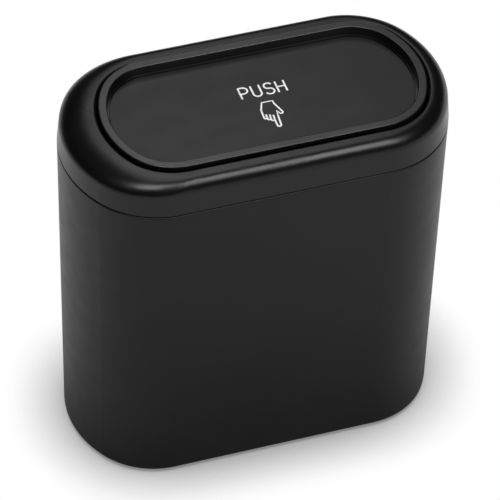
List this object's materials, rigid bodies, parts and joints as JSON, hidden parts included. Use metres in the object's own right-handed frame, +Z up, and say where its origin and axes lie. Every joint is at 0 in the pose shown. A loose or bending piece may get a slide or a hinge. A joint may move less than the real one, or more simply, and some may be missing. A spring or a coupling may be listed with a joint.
{
  "type": "car trash can",
  "caption": "Press-to-open car bin: tapered tub with rounded ends, lift-off lid with a recessed push flap on a rear hinge and a push-push latch.",
  "frame": {"origin": "on the floor, under the middle of the tub's outline", "axes": "+X along the bin to the right, +Y to the hinge side at the back, +Z up"},
  "size_m": [0.16, 0.0848, 0.1632],
  "materials": {
    "tub_plastic": "fine satin texture, black",
    "lid_plastic": "satin black",
    "rim_plastic": "satin black",
    "panel_plastic": "satin black",
    "inner_plastic": "moulded black",
    "latch_plastic": "moulded dark grey",
    "acetal_white": "natural white",
    "seal_rubber": "soft black",
    "pad_rubber": "soft dark grey",
    "screw_steel": "zinc plated",
    "spring_steel": "bright wire"
  },
  "bodies": {
    "bin": {"bin_body": "tub_plastic", "foot_pad_front_left": "pad_rubber", "foot_pad_front_right": "pad_rubber", "foot_pad_back_left": "pad_rubber", "foot_pad_back_right": "pad_rubber"},
    "lid": {"lid_collar": "lid_plastic", "lid_deck": "inner_plastic", "rim_gasket": "seal_rubber", "deck_screws": "screw_steel", "hinge_pin_left": "spring_steel", "hinge_pin_right": "spring_steel", "hinge_spring_left": "spring_steel", "hinge_spring_right": "spring_steel", "latch_housing": "latch_plastic", "latch_cap": "latch_plastic", "latch_screws": "screw_steel", "latch_spring": "spring_steel"},
    "flap": {"flap_rim": "rim_plastic", "flap_panel": "panel_plastic", "flap_tray": "inner_plastic", "flap_screws": "screw_steel", "latch_striker": "latch_plastic", "striker_screws": "screw_steel"},
    "latch": {"latch_plunger": "acetal_white"}
  },
  "joints": [
    {"name": "lid_lift", "type": "slide", "parent": "bin", "child": "lid", "axis": [0, 0, 1], "range_m": [0, 0.06]},
    {"name": "flap_swing", "type": "hinge", "parent": "lid", "child": "flap", "pos_m": [0.0036, 0.0366, 0.156], "axis": [-1, 0, 0], "range_deg": [-1.2, 85]},
    {"name": "latch_travel", "type": "slide", "parent": "lid", "child": "latch", "axis": [0, 0, 1], "range_m": [-0.0013, 0.0035], "deforming": ["latch_spring"]}
  ]
}
